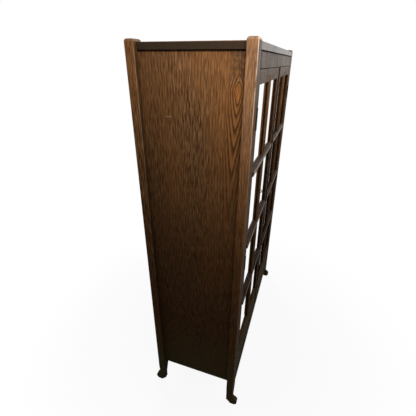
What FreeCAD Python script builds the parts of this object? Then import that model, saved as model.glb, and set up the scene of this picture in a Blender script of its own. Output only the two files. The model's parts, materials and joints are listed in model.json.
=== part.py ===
"""Oak bookcase with two glazed doors, in millimetres.

X runs to the right, Y to the back and Z up. The origin is on the floor under the middle of the case.
"""
import FreeCAD, Part
import math
import os
import re
import Sketcher

VECTOR = FreeCAD.Vector
TINY = 1e-6

# Driving sizes, one alias each.
SIZES = {
    # case
    "case_width": "1034",
    "case_depth": "388",
    "total_height": "1550",
    "post_width": "45",
    "post_depth": "32",
    "post_rise": "8",
    "post_chamfer": "4",
    # scroll feet, tenoned into the posts
    "roll_radius": "21",
    "pad_cut": "1.5",
    "instep_radius": "11",
    "ankle_inset": "4",
    "ankle_width": "20",
    "ankle_level": "56",
    "knee_level": "108",
    "foot_tenon_width": "14",
    "foot_tenon_length": "24",
    # side panels, top, rails and floor of the case
    "panel_recess": "20",
    "panel_thick": "16",
    "panel_bottom": "142",
    "tongue_length": "8",
    "top_inset": "14",
    "top_thick": "20",
    "top_easing": "2",
    "rail_thick": "20",
    "tenon_length": "8",
    "tenon_shoulder": "6",
    "frieze_height": "46",
    "frieze_recess": "1",
    "quirk_height": "4",
    "quirk_depth": "5",
    "sill_bottom": "134",
    "sill_height": "43",
    "floor_thick": "18",
    # back and shelves
    "back_thick": "9",
    "board_gap": "0.6",
    "shelf_thick": "20",
    "shelf_play": "1",
    "shelf_setback": "45",
    "cleat_height": "20",
    "cleat_width": "16",
    # doors
    "door_gap": "2",
    "door_recess": "3",
    "door_thick": "20",
    "stile_width": "32",
    "top_rail": "40",
    "bottom_rail": "141",
    "bar_height": "29",
    "bar_proud": "4",
    "bar_flat": "13",
    "bar_edge": "2.5",
    "muntin_width": "30",
    "muntin_proud": "3",
    "sight_depth": "8",
    "rebate_width": "8",
    "glass_thick": "3",
    "glass_play": "0.5",
    "notch_rise": "16",
    "notch_half": "42",
    "bead_cover_width": "7",
    "bead_cover_proud": "4",
    "bead_cover_round": "2.4",
    # butt hinges
    "hinge_height": "64",
    "hinge_inset": "130",
    "hinge_offset": "3.5",
    "leaf_width": "19",
    "leaf_thick": "1.8",
    "leaf_gap": "0.4",
    "knuckle_radius": "3",
    "knuckle_gap": "0.3",
    "pin_radius": "1.5",
    "running_clear": "0.06",
    "moving_clear": "0.4",
    # lock in the right door
    "lock_level": "913",
    "lock_width": "22",
    "lock_height": "48",
    "lock_depth": "12",
    "backset": "14",
    "bolt_rise": "7",
    "bolt_height": "12",
    "bolt_thick": "5",
    "bolt_length": "18",
    "bolt_start": "0.5",
    "strike_depth": "9",
    "strike_thick": "1.2",
    "strike_height": "40",
    "escutcheon_width": "13",
    "escutcheon_height": "34",
    "escutcheon_thick": "1.2",
    "key_reach": "23.5",
    "shank_radius": "2.4",
    "bow_radius": "7",
    "bow_wire": "1.7",
    "bow_thick": "2.6",
    "bit_reach": "6.4",
    "bit_thick": "2",
    "bit_width": "5",
    # slide bolts on the back of the left door
    "slide_width": "8",
    "slide_thick": "4",
    "slide_length": "70",
    "slide_stand": "5",
    "slide_rest_gap": "1.5",
    "slide_throw": "12",
    "slide_plate_width": "16",
    "slide_plate_height": "60",
    "slide_plate_thick": "1.2",
    "staple_height": "8",
    "staple_wall": "2.2",
    "slide_neck_radius": "1.9",
    "slide_neck_length": "5",
    "slide_knob_radius": "3.6",
    "slide_knob_thick": "3.5",
    "slide_hole_depth": "14",
    "keeper_height": "12",
    # counts
    "row_count": "4",
    "board_count": "6",
    "hinge_count": "3",
    "knuckle_count": "3",
    # one overrun serves all cuts
    "overrun": "5",
}

# Levels and faces worked out from the driving sizes.
DERIVED = {
    "half_width": "case_width / 2",
    "half_depth": "case_depth / 2",
    "post_inner": "half_width - post_width",
    "post_back": "half_depth - post_depth",
    "top_level": "total_height - post_rise",
    "top_under": "top_level - top_thick",
    "frieze_under": "top_under - frieze_height",
    "sill_top": "sill_bottom + sill_height",
    "panel_inner": "half_width - panel_recess - panel_thick",
    "back_front": "post_back - back_thick",
    "shelf_front": "half_depth - shelf_setback",
    "door_bottom": "sill_top + door_gap",
    "door_top": "frieze_under - door_gap",
    "door_height": "door_top - door_bottom",
    "door_outer": "post_inner - door_gap",
    "door_edge": "door_gap / 2",
    "door_face": "half_depth - door_recess",
    "door_back": "door_face - door_thick",
    "stile_outer": "door_outer - stile_width",
    "stile_inner": "door_edge + stile_width",
    "door_middle": "(stile_outer + stile_inner) / 2",
    "glass_front": "door_face - sight_depth",
    "glass_back": "glass_front - glass_thick",
    "glazing_bottom": "door_bottom + bottom_rail",
    "glazing_top": "door_top - top_rail",
    "row_height": "(glazing_top - glazing_bottom - (row_count - 1) * bar_height) / row_count",
    "row_pitch": "row_height + bar_height",
    "pane_width": "(stile_outer - stile_inner - muntin_width) / 2",
    "pane_top": "glazing_top + notch_rise",
    "roll_level": "roll_radius - pad_cut",
    "pin_x": "post_inner - door_gap / 2",
    "pin_y": "door_face + hinge_offset",
    "hinge_pitch": "(door_height - 2 * hinge_inset) / (hinge_count - 1)",
    "knuckle_height": "hinge_height / knuckle_count",
    "barrel_clear": "knuckle_radius + moving_clear",
    "key_x": "door_edge + backset",
    "bolt_level": "lock_level + bolt_rise",
    "bolt_middle": "door_back + lock_depth / 2",
    "key_tip": "bolt_middle - bit_width / 2",
    "key_end": "door_face + key_reach",
    "bow_level": "key_end - bow_radius - bow_wire",
    "slide_x": "door_edge + stile_width / 2",
    "slide_y": "door_back - slide_stand",
    "slide_top": "frieze_under - slide_rest_gap",
    "slide_bottom": "sill_top + slide_rest_gap",
}

doc = FreeCAD.newDocument("GlazedBookcase")
sheet = doc.addObject("Spreadsheet::Sheet", "Sizes")


def fill_sheet():
    """Write the driving sizes as plain numbers, then the values that follow from them."""
    row = 0
    for alias, number in SIZES.items():
        row += 1
        sheet.set("A%d" % row, alias)
        sheet.set("B%d" % row, number)
        sheet.setAlias("B%d" % row, alias)
    for alias, formula in DERIVED.items():
        row += 1
        sheet.set("A%d" % row, alias)
        sheet.set("B%d" % row, "=" + formula)
        sheet.setAlias("B%d" % row, alias)
    doc.recompute()


def bound(formula):
    """Turn a formula in plain words into one that reads the sheet."""
    return re.sub(r"[a-z_]+", lambda word: "Sizes." + word.group(0), formula)


def value(formula):
    """The number that a formula gives now."""
    return float(sheet.evalExpression(bound(formula)))


def count(name):
    """A whole number from the sheet."""
    return int(round(value(name)))


def bind(item, **formulas):
    """Bind properties of an object to formulas."""
    for name, formula in formulas.items():
        item.setExpression(name, bound(formula))
    return item


def place(item, base):
    """Bind an object's position to three formulas."""
    for axis, formula in zip("xyz", base):
        item.setExpression("Placement.Base." + axis, bound(formula))
    return item


def turn(item, axis, degrees):
    """Turn an object about one of its own axes before it is placed."""
    item.Placement = FreeCAD.Placement(VECTOR(), FreeCAD.Rotation(axis, degrees))
    return item


def block(name, across, along, up):
    """A box given by its low and high limits in X, Y and Z."""
    box = doc.addObject("Part::Box", name)
    limits = (across, along, up)
    spans = ["(%s) - (%s)" % (high, low) for low, high in limits]
    bind(box, Length=spans[0], Width=spans[1], Height=spans[2])
    return place(box, [low for low, high in limits])


def rod(name, base, radius, length, axis="z"):
    """A cylinder that starts at base and runs along an axis."""
    turns = {"z": (VECTOR(0, 0, 1), 0), "x": (VECTOR(0, 1, 0), 90), "y": (VECTOR(1, 0, 0), -90)}
    cylinder = turn(doc.addObject("Part::Cylinder", name), *turns[axis])
    bind(cylinder, Radius=radius, Height=length)
    return place(cylinder, base)


def fuse(name, members):
    """Several solids made into one."""
    union = doc.addObject("Part::MultiFuse", name)
    union.Shapes = members
    union.Refine = True
    return union


def cut(name, base, tools):
    """A solid with one or more tools taken out of it."""
    result = doc.addObject("Part::Cut", name)
    result.Base = base
    result.Tool = tools[0] if len(tools) == 1 else fuse(name + "_tools", tools)
    return result


def group(name, members):
    """Separate solids that share one node."""
    bundle = doc.addObject("Part::Compound", name)
    bundle.Links = members
    return bundle


def mirrored(side, low, high):
    """Limits at equal distances from the middle, on the side given by -1 or 1."""
    return (low, high) if side > 0 else ("-(%s)" % high, "-(%s)" % low)


def front(outer, inner):
    """Limits in Y of something in the front half, from its outer face to its inner face."""
    return "-(%s)" % outer, "-(%s)" % inner


def base_plane(body, role):
    """One of a body's own origin planes."""
    return next(item for item in body.Origin.OriginFeatures if item.Role == role)


def new_sketch(body, role, name):
    """A sketch on one of a body's origin planes."""
    sketch = body.newObject("Sketcher::SketchObject", name)
    sketch.AttachmentSupport = [(base_plane(body, role), "")]
    sketch.MapMode = "FlatFace"
    return sketch


def hold(sketch, piece, point, across, up):
    """Tie one point of a sketch to two formulas."""
    for kind, axis_line, formula in (("DistanceX", -2, across), ("DistanceY", -1, up)):
        size = value(formula)
        if abs(size) < TINY:
            sketch.addConstraint(Sketcher.Constraint("PointOnObject", piece, point, axis_line))
            continue
        ends = (-1, 1, piece, point) if size > 0 else (piece, point, -1, 1)
        index = sketch.addConstraint(Sketcher.Constraint(kind, *ends, abs(size)))
        text = formula if size > 0 else "-(%s)" % formula
        sketch.setExpression("Constraints[%d]" % index, bound(text))


def line(sketch, start, end):
    """A straight edge between two points given as formulas."""
    ends = [VECTOR(value(across), value(up), 0) for across, up in (start, end)]
    return sketch.addGeometry(Part.LineSegment(*ends))


def outline(sketch, corners):
    """A closed outline of straight edges through corners given as formulas."""
    edges = [line(sketch, corners[i], corners[(i + 1) % len(corners)]) for i in range(len(corners))]
    for edge, following in zip(edges, edges[1:] + edges[:1]):
        sketch.addConstraint(Sketcher.Constraint("Coincident", edge, 2, following, 1))
    for edge, (across, up) in zip(edges, corners):
        hold(sketch, edge, 1, across, up)


def pad(body, sketch, length, reverse=False):
    """Extrude a sketch by a bound length."""
    feature = body.newObject("PartDesign::Pad", sketch.Name + "_pad")
    feature.Profile = sketch
    feature.Reversed = reverse
    bind(feature, Length=length)
    doc.recompute()
    return feature


def edges_where(feature, test, along=None):
    """Names of a feature's edges whose ends pass a test, and that run along an axis if one is given."""
    names = []
    for number, edge in enumerate(feature.Shape.Edges, start=1):
        slant = edge.tangentAt(edge.FirstParameter).cross(along).Length if along else 0
        if slant < TINY and all(test(vertex.Point) for vertex in edge.Vertexes):
            names.append("Edge%d" % number)
    return names


def ease(body, kind, edges, size):
    """Chamfer or fillet edges of the newest feature in a body."""
    whole = body.Tip
    feature = body.newObject("PartDesign::" + kind, body.Name + "_" + kind.lower())
    feature.Base = (whole, edges)
    bind(feature, **{"Size" if kind == "Chamfer" else "Radius": size})
    body.Tip = feature
    doc.recompute()
    return feature


def foot_profile(sketch):
    """Side of a foot: straight shin, hollow instep, roll with a flat pad, sloping sole and heel.

    The shin's outward face is at zero, and the roll is centred under it.
    """
    radius = value("roll_radius")
    level = value("roll_level")
    instep = value("instep_radius")
    depth = value("post_depth")
    top = value("knee_level")
    lift = math.sqrt(radius ** 2 + 2 * radius * instep)
    sole_lean = math.pi / 4
    sole_angle = math.pi + sole_lean
    meet_angle = math.atan2(lift, instep)
    pad_half = math.sqrt(radius ** 2 - level ** 2)
    pad_angle = math.atan2(-level, pad_half)
    roll = VECTOR(0, level, 0)
    hollow = VECTOR(instep, level + lift, 0)
    sole = roll + VECTOR(math.cos(sole_angle), math.sin(sole_angle), 0) * radius
    heel = VECTOR(-depth, sole.y + (sole.x + depth) * math.tan(sole_lean), 0)
    normal = VECTOR(0, 0, 1)
    circle = Part.Circle(roll, normal, radius)
    add = sketch.addGeometry
    back = add(Part.LineSegment(VECTOR(-depth, top, 0), heel))
    slope = add(Part.LineSegment(heel, sole))
    inner = add(Part.ArcOfCircle(circle, sole_angle, math.pi - pad_angle))
    flat = add(Part.LineSegment(VECTOR(-pad_half, 0, 0), VECTOR(pad_half, 0, 0)))
    outer = add(Part.ArcOfCircle(circle, pad_angle, meet_angle))
    hollow_circle = Part.Circle(hollow, normal, instep)
    throat = add(Part.ArcOfCircle(hollow_circle, math.pi, math.pi + meet_angle))
    shin = add(Part.LineSegment(VECTOR(0, hollow.y, 0), VECTOR(0, top, 0)))
    knee = add(Part.LineSegment(VECTOR(0, top, 0), VECTOR(-depth, top, 0)))
    for joint in ((back, 2, slope, 1), (inner, 2, flat, 1), (flat, 2, outer, 1), (shin, 2, knee, 1),
                  (knee, 2, back, 1)):
        sketch.addConstraint(Sketcher.Constraint("Coincident", *joint))
    for smooth in ((slope, 2, inner, 1), (outer, 2, throat, 2), (throat, 1, shin, 1)):
        sketch.addConstraint(Sketcher.Constraint("Tangent", *smooth))
    sketch.addConstraint(Sketcher.Constraint("Coincident", inner, 3, outer, 3))
    sketch.addConstraint(Sketcher.Constraint("Vertical", back))
    sketch.addConstraint(Sketcher.Constraint("PointOnObject", flat, 1, -1))
    sketch.addConstraint(Sketcher.Constraint("PointOnObject", flat, 2, -1))
    sketch.addConstraint(Sketcher.Constraint("Angle", slope, -sole_lean))
    hold(sketch, outer, 3, "0", "roll_level")
    hold(sketch, knee, 1, "0", "knee_level")
    hold(sketch, back, 1, "-post_depth", "knee_level")
    for piece, formula in ((outer, "roll_radius"), (throat, "instep_radius")):
        index = sketch.addConstraint(Sketcher.Constraint("Radius", piece, value(formula)))
        sketch.setExpression("Constraints[%d]" % index, bound(formula))


def corner_name(side, end, piece):
    """Name of a piece that stands at one corner of the case."""
    return "_".join(("front" if end < 0 else "back", "left" if side < 0 else "right", piece))


def stand(body, side, end):
    """Put a piece at a corner. Its local X grows from the outer face, its local Y grows outward."""
    turn(body, VECTOR(0, 0, 1), 0 if end > 0 else 180)
    corner = ("half_width" if side > 0 else "-half_width", "half_depth" if end > 0 else "-half_depth")
    return place(body, corner + ("0",))


def foot_tenon(name, side, end):
    """The square stub tenon that holds a foot under its post."""
    half = "foot_tenon_width / 2"
    across = "(half_width - post_width / 2)"
    along = "(half_depth - post_depth / 2)"
    return block(name, mirrored(side, "%s - %s" % (across, half), "%s + %s" % (across, half)),
                 mirrored(end, "%s - %s" % (along, half), "%s + %s" % (along, half)),
                 ("knee_level - overrun", "knee_level + foot_tenon_length"))


def foot(side, end):
    """A scroll foot: its rolled side profile, tapered from both sides below the knee, with a tenon on top."""
    name = corner_name(side, end, "foot")
    body = doc.addObject("PartDesign::Body", name + "_body")
    inward = -side * end
    sketch = new_sketch(body, "YZ_Plane", name + "_side")
    foot_profile(sketch)
    plain = pad(body, sketch, "post_width", reverse=inward < 0)
    taper = new_sketch(body, "XZ_Plane", name + "_taper")
    flanks = (("0", "ankle_inset", "-overrun"),
              ("post_width", "(ankle_inset + ankle_width)", "(post_width + overrun)"))
    for flank in flanks:
        knee, ankle, outside = ["%d * %s" % (inward, across) for across in flank]
        outline(taper, ((knee, "knee_level"), (ankle, "ankle_level"), (ankle, "-overrun"),
                        (outside, "-overrun"), (outside, "knee_level")))
    slope = body.newObject("PartDesign::Pocket", name + "_taper_cut")
    slope.Profile = taper
    slope.Type = "ThroughAll"
    slope.SideType = "Symmetric"
    doc.recompute()
    assert slope.Shape.Volume < plain.Shape.Volume
    return fuse(name, [stand(body, side, end), foot_tenon(name + "_tenon", side, end)])


def post_body(name, side, end):
    """The plain shaft of a post, chamfered round its top."""
    body = doc.addObject("PartDesign::Body", name + "_body")
    section = new_sketch(body, "XY_Plane", name + "_section")
    inner = "post_width" if side * end < 0 else "-post_width"
    outline(section, (("0", "0"), (inner, "0"), (inner, "-post_depth"), ("0", "-post_depth")))
    section.setExpression("AttachmentOffset.Base.z", bound("knee_level"))
    shaft = pad(body, section, "total_height - knee_level")
    top = value("total_height")
    ease(body, "Chamfer", edges_where(shaft, lambda point: abs(point.z - top) < TINY), "post_chamfer")
    return stand(body, side, end)


def hinge_level(number):
    """Formula for the lower end of a hinge, counted from the bottom."""
    return "door_bottom + hinge_inset - hinge_height / 2 + %d * hinge_pitch" % number


def post(side, end):
    """A post with its panel groove, its mortises and, at the front, the hinge housings."""
    name = corner_name(side, end, "post")
    faces = ("post_back", "post_back + tongue_length")
    groove_y = faces if end > 0 else front(faces[1], faces[0])
    groove_x = mirrored(side, "panel_inner", "panel_inner + panel_thick")
    tools = [block(name + "_groove", groove_x, groove_y, ("panel_bottom", "top_under"))]
    tools.append(foot_tenon(name + "_foot_mortise", side, end))
    for label, rail_y, levels in rails(end):
        reach = mirrored(side, "post_inner - overrun", "post_inner + tenon_length")
        tools.append(block(name + "_mortise_" + label, reach, shouldered(rail_y), shouldered(levels)))
    if end < 0:
        for number in range(count("hinge_count")):
            low = hinge_level(number)
            tag = "%s_hinge_%d" % (name, number)
            leaf_x = mirrored(side, "post_inner - overrun", "pin_x + leaf_gap / 2 + leaf_thick")
            leaf_y = front("half_depth + overrun", "pin_y - leaf_width")
            tools.append(block(tag + "_leaf", leaf_x, leaf_y, (low, low + " + hinge_height")))
            axis = ("pin_x" if side > 0 else "-pin_x", "-pin_y", low + " - moving_clear")
            tools.append(rod(tag + "_barrel", axis, "barrel_clear", "hinge_height + 2 * moving_clear"))
    return cut(name, post_body(name, side, end), tools)


def rails(end):
    """The two rails at one end of the case: name, limits in Y and limits in Z."""
    if end > 0:
        upper = ("post_back", "post_back + rail_thick")
        lower = upper
    else:
        upper = front("half_depth - frieze_recess", "half_depth - frieze_recess - rail_thick")
        lower = front("half_depth", "half_depth - rail_thick")
    return (("upper", upper, ("frieze_under", "top_under")), ("lower", lower, ("sill_bottom", "sill_top")))


def shouldered(limits):
    """Limits of a rail drawn in by the shoulders of its tenon."""
    return limits[0] + " + tenon_shoulder", limits[1] + " - tenon_shoulder"


def rail(name, limits, levels):
    """A rail between two posts, with a stub tenon at each end."""
    body = block(name + "_body", ("-post_inner", "post_inner"), limits, levels)
    reach = ("-(post_inner + tenon_length)", "post_inner + tenon_length")
    tenons = block(name + "_tenons", reach, shouldered(limits), shouldered(levels))
    return fuse(name, [body, tenons])


def frieze_rail():
    """The front rail under the top board, with a shadow quirk along its upper edge."""
    label, limits, levels = rails(-1)[0]
    plain = rail("frieze_plain", limits, levels)
    face = front("half_depth - frieze_recess + overrun", "half_depth - frieze_recess - quirk_depth")
    quirk = block("frieze_quirk", ("-post_inner", "post_inner"), face,
                  ("top_under - quirk_height", "top_under + overrun"))
    return cut("frieze_rail", plain, [quirk])


def side_panel(side):
    """A side panel with tongues in the posts' grooves."""
    name = ("left" if side < 0 else "right") + "_side_panel"
    across = mirrored(side, "panel_inner", "panel_inner + panel_thick")
    reach = ("-(post_back + tongue_length)", "post_back + tongue_length")
    return block(name, across, reach, ("panel_bottom", "top_under"))


def top_board():
    """The top, notched round the four posts, with eased upper edges."""
    body = doc.addObject("PartDesign::Body", "top_body")
    sketch = new_sketch(body, "XY_Plane", "top_outline")
    edge = "half_width - top_inset"
    corners = []
    for side, end in ((-1, -1), (1, -1), (1, 1), (-1, 1)):
        across = "-" if side < 0 else ""
        along = "-" if end < 0 else ""
        in_front = (across + "post_inner", along + "half_depth")
        in_notch = (across + "post_inner", along + "post_back")
        at_side = (across + "(%s)" % edge, along + "post_back")
        turns = [at_side, in_notch, in_front]
        corners += turns if side * end > 0 else turns[::-1]
    outline(sketch, corners)
    slab = pad(body, sketch, "top_thick")
    thick = value("top_thick")
    rim_x = value(edge)
    rim_y = value("half_depth")

    def on_rim(point):
        outermost = min(abs(abs(point.x) - rim_x), abs(abs(point.y) - rim_y))
        return max(abs(point.z - thick), outermost) < TINY

    ease(body, "Fillet", edges_where(slab, on_rim), "top_easing")
    place(body, ("0", "0", "top_under"))
    body.Label = "top_board"
    return body


def bottom_board():
    """The floor of the case, notched round the front posts and mortised for the lower slide bolt."""
    body = block("floor_plain", ("-panel_inner", "panel_inner"), ("-(half_depth - rail_thick)", "post_back"),
                 ("sill_top - floor_thick", "sill_top"))
    tools = []
    for side in (-1, 1):
        limits = mirrored(side, "post_inner", "panel_inner + overrun")
        tools.append(block("floor_notch_%d" % (side + 1), limits, front("half_depth", "post_back"),
                           ("sill_top - floor_thick - overrun", "sill_top + overrun")))
    hole_z = ("sill_top - slide_hole_depth", "sill_top + overrun")
    tools.append(slide_space("floor_bolt_hole", "moving_clear", hole_z))
    return cut("bottom_board", body, tools)


def back_boards():
    """Upright boards nailed to the back posts and rails."""
    boards = []
    total = count("board_count")
    for number in range(total):
        pitch = "(2 * panel_inner + board_gap) / board_count"
        low = "-panel_inner + %d * %s" % (number, pitch)
        high = "%s + %s - board_gap" % (low, pitch)
        boards.append(block("back_board_%d" % number, (low, high), ("back_front", "post_back"),
                            ("sill_top", "top_under")))
    return group("back_boards", boards)


def bar_middle(number):
    """Formula for the middle of a cross bar, counted from the bottom."""
    return "glazing_bottom + %d * row_pitch - bar_height / 2" % number


def shelf_parts():
    """Shelves level with the cross bars, and the cleats they rest on."""
    shelves = []
    cleats = []
    across = ("-(panel_inner - shelf_play)", "panel_inner - shelf_play")
    along = ("-shelf_front", "back_front - shelf_play")
    for number in range(1, count("row_count")):
        middle = bar_middle(number)
        under = middle + " - shelf_thick / 2"
        shelves.append(block("shelf_%d" % number, across, along, (under, middle + " + shelf_thick / 2")))
        for side in (-1, 1):
            limits = mirrored(side, "panel_inner - cleat_width", "panel_inner")
            name = "cleat_%d_%d" % (number, side + 1)
            cleats.append(block(name, limits, along, (under + " - cleat_height", under)))
    return shelves + [group("shelf_cleats", cleats)]


# Y limits that the door pieces share.
DOOR_Y = front("door_face", "door_back")
REBATE_Y = front("glass_front", "door_back - overrun")
WEB_Y = front("glass_front", "door_back")
GLASS_Y = front("glass_front", "glass_back")
BEAD_Y = front("glass_back", "door_back")
PANE_Z = ("glazing_bottom - rebate_width", "pane_top + rebate_width")


def stile(side, door, hinged):
    """An upright of a door frame, rebated for the glass and cut for its hardware."""
    name = door + ("_hinge_stile" if hinged else "_meeting_stile")
    limits = ("stile_outer", "door_outer") if hinged else ("door_edge", "stile_inner")
    body = block(name + "_body", mirrored(side, *limits), DOOR_Y, ("door_bottom", "door_top"))
    rebate = ("stile_outer - overrun", "stile_outer + rebate_width")
    if not hinged:
        rebate = ("stile_inner - rebate_width", "stile_inner + overrun")
    tools = [block(name + "_rebate", mirrored(side, *rebate), REBATE_Y, PANE_Z)]
    if hinged:
        for number in range(count("hinge_count")):
            low = hinge_level(number)
            across = mirrored(side, "pin_x - leaf_gap / 2 - leaf_thick", "door_outer + overrun")
            along = front("door_face + overrun", "pin_y - leaf_width")
            housing = block("%s_housing_%d" % (name, number), across, along, (low, low + " + hinge_height"))
            tools.append(housing)
    elif side > 0:
        tools += lock_housing(name)
    else:
        tools += strike_housing(name)
    return cut(name, body, tools)


def rail_blank(side, name, thick):
    """The outline of a door's upper rail, with its pointed notch, brought forward from the back of the door."""
    body = doc.addObject("PartDesign::Body", name)
    sketch = new_sketch(body, "XZ_Plane", name + "_face")
    half = value("notch_half")
    rise = value("notch_rise")
    reach = value("(stile_outer - stile_inner) / 2")
    height = value("top_rail")
    sweep_radius = (half ** 2 + rise ** 2) / (2 * rise)
    lean = math.asin(half / sweep_radius)
    normal = VECTOR(0, 0, 1)
    add = sketch.addGeometry
    left_flat = add(Part.LineSegment(VECTOR(-reach, 0, 0), VECTOR(-half, 0, 0)))
    left_arc = add(Part.ArcOfCircle(Part.Circle(VECTOR(-half, sweep_radius, 0), normal, sweep_radius),
                                    -math.pi / 2, -math.pi / 2 + lean))
    right_arc = add(Part.ArcOfCircle(Part.Circle(VECTOR(half, sweep_radius, 0), normal, sweep_radius),
                                     -math.pi / 2 - lean, -math.pi / 2))
    right_flat = add(Part.LineSegment(VECTOR(half, 0, 0), VECTOR(reach, 0, 0)))
    right_end = add(Part.LineSegment(VECTOR(reach, 0, 0), VECTOR(reach, height, 0)))
    upper = add(Part.LineSegment(VECTOR(reach, height, 0), VECTOR(-reach, height, 0)))
    left_end = add(Part.LineSegment(VECTOR(-reach, height, 0), VECTOR(-reach, 0, 0)))
    chain = (left_flat, left_arc, right_arc, right_flat, right_end, upper, left_end)
    for piece, following in zip(chain, chain[1:] + chain[:1]):
        smooth = (piece, following) in ((left_flat, left_arc), (right_arc, right_flat))
        kind = "Tangent" if smooth else "Coincident"
        sketch.addConstraint(Sketcher.Constraint(kind, piece, 2, following, 1))
    hold(sketch, left_flat, 1, "-(stile_outer - stile_inner) / 2", "0")
    hold(sketch, left_arc, 1, "-notch_half", "0")
    hold(sketch, right_arc, 1, "0", "notch_rise")
    hold(sketch, right_flat, 1, "notch_half", "0")
    hold(sketch, right_end, 1, "(stile_outer - stile_inner) / 2", "0")
    hold(sketch, upper, 1, "(stile_outer - stile_inner) / 2", "top_rail")
    hold(sketch, left_end, 1, "-(stile_outer - stile_inner) / 2", "top_rail")
    pad(body, sketch, thick)
    return place(body, ("door_middle" if side > 0 else "-door_middle", "-door_back", "glazing_top"))


def top_rail(side, door):
    """The upper rail of a door, with a pointed notch over the upright bar."""
    name = door + "_top_rail"
    rebate = block(name + "_rebate", mirrored(side, "stile_inner", "stile_outer"), REBATE_Y,
                   ("glazing_top - overrun", "pane_top + rebate_width"))
    return cut(name, rail_blank(side, name + "_blank", "door_thick"), [rebate])


def bottom_rail(side, door):
    """The wide lower rail of a door, rebated along its upper edge."""
    name = door + "_bottom_rail"
    limits = mirrored(side, "stile_inner", "stile_outer")
    body = block(name + "_body", limits, DOOR_Y, ("door_bottom", "glazing_bottom"))
    rebate_z = ("glazing_bottom - rebate_width", "glazing_bottom + overrun")
    return cut(name, body, [block(name + "_rebate", limits, REBATE_Y, rebate_z)])


def nose_corners(breadth, proud):
    """Corners of a bar's nose, depth first: thin edges on the glass, two bevels and a flat between them."""
    face = "-(sight_depth + %s)" % proud
    side = "%s / 2" % breadth
    return (("0", "-" + side), ("-bar_edge", "-" + side), (face, "-bar_flat / 2"), (face, "bar_flat / 2"),
            ("-bar_edge", side), ("0", side))


def cross_bar(side, door, number):
    """A through bar of T section: a bevelled nose in front and a web between the panes."""
    name = "%s_cross_bar_%d" % (door, number)
    body = doc.addObject("PartDesign::Body", name)
    nose = new_sketch(body, "YZ_Plane", name + "_nose")
    outline(nose, nose_corners("bar_height", "bar_proud"))
    pad(body, nose, "stile_outer - stile_inner")
    middle = bar_middle(number)
    place(body, ("stile_inner" if side > 0 else "-stile_outer", "-glass_front", middle))
    web_x = mirrored(side, "stile_inner - rebate_width", "stile_outer + rebate_width")
    web_half = "(bar_height / 2 - rebate_width)"
    web = block(name + "_web", web_x, WEB_Y, (middle + " - " + web_half, middle + " + " + web_half))
    return fuse(name + "_whole", [body, web])


def row_levels(row):
    """Formulas for the lower and upper sight lines of a row of panes."""
    low = "glazing_bottom + %d * row_pitch" % row
    last = row == count("row_count") - 1
    return low, "pane_top" if last else low + " + row_height"


def muntin(side, door, row, bars):
    """One length of the upright bar, fitted over the bevels of the bars. The top one fills the pointed notch."""
    name = "%s_muntin_%d" % (door, row)
    low, high = row_levels(row)
    last = row == count("row_count") - 1
    start = bar_middle(row) if row else low
    end = high if last else bar_middle(row + 1)
    body = doc.addObject("PartDesign::Body", name + "_body")
    nose = new_sketch(body, "XY_Plane", name + "_nose")
    outline(nose, [(across, depth) for depth, across in nose_corners("muntin_width", "muntin_proud")])
    pad(body, nose, "(%s) - (%s)" % (end, start))
    place(body, ("door_middle" if side > 0 else "-door_middle", "-glass_front", start))
    tools = bars[max(row - 1, 0):row + 1]
    if last:
        tools.append(rail_blank(side, name + "_end", "door_thick + muntin_proud + overrun"))
    half = "(muntin_width / 2 - rebate_width)"
    web_x = mirrored(side, "door_middle - " + half, "door_middle + " + half)
    web = block(name + "_web", web_x, WEB_Y, (low + " - rebate_width", high + " + rebate_width"))
    return fuse(name, [cut(name + "_fitted", body, tools), web])


def pane_columns():
    """Formulas for the sight lines in X of the two columns of panes, nearest the middle first."""
    inner = ("stile_inner", "stile_inner + pane_width")
    outer = ("stile_outer - pane_width", "stile_outer")
    return inner, outer


def glazing(side, door):
    """The panes of one door and the beads that hold them in their rebates."""
    panes = []
    beads = []
    for row in range(count("row_count")):
        low, high = row_levels(row)
        for column, (near, far) in enumerate(pane_columns()):
            tag = "%s_%d_%d" % (door, row, column)
            lap = "rebate_width - glass_play"
            pane_x = mirrored(side, "%s - (%s)" % (near, lap), "%s + %s" % (far, lap))
            pane_z = ("%s - (%s)" % (low, lap), "%s + %s" % (high, lap))
            panes.append(block("pane_" + tag, pane_x, GLASS_Y, pane_z))
            wide = mirrored(side, near + " - rebate_width", far + " + rebate_width")
            strips = (
                (wide, (low + " - rebate_width", low)),
                (wide, (high, high + " + rebate_width")),
                (mirrored(side, near + " - rebate_width", near), (low, high)),
                (mirrored(side, far, far + " + rebate_width"), (low, high)),
            )
            for number, (across, up) in enumerate(strips):
                beads.append(block("bead_%s_%d" % (tag, number), across, BEAD_Y, up))
    return [group(door + "_panes", panes), group(door + "_glazing_beads", beads)]


def leaf(name, side, number, on_post):
    """A hinge leaf with its share of the knuckles."""
    low = hinge_level(number)
    near = "leaf_gap / 2"
    far = "leaf_gap / 2 + leaf_thick"
    limits = ("pin_x + " + near, "pin_x + " + far) if on_post else ("pin_x - (%s)" % far, "pin_x - " + near)
    across = mirrored(side, *limits)
    members = [block(name + "_plate", across, front("pin_y - barrel_clear", "pin_y - leaf_width"),
                     (low, low + " + hinge_height"))]
    axis = ("pin_x" if side > 0 else "-pin_x", "-pin_y")
    for knuckle in range(0 if on_post else 1, count("knuckle_count"), 2):
        start = "%s + %d * knuckle_height + knuckle_gap / 2" % (low, knuckle)
        tag = "%s_knuckle_%d" % (name, knuckle)
        members.append(rod(tag, axis + (start,), "knuckle_radius", "knuckle_height - knuckle_gap"))
        members.append(block(tag + "_root", across, front("pin_y", "pin_y - barrel_clear"),
                             (start, start + " + knuckle_height - knuckle_gap")))
    below = axis + (low + " - overrun",)
    bore = rod(name + "_bore", below, "pin_radius + running_clear", "hinge_height + 2 * overrun")
    return cut(name, fuse(name + "_solid", members), [bore])


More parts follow.
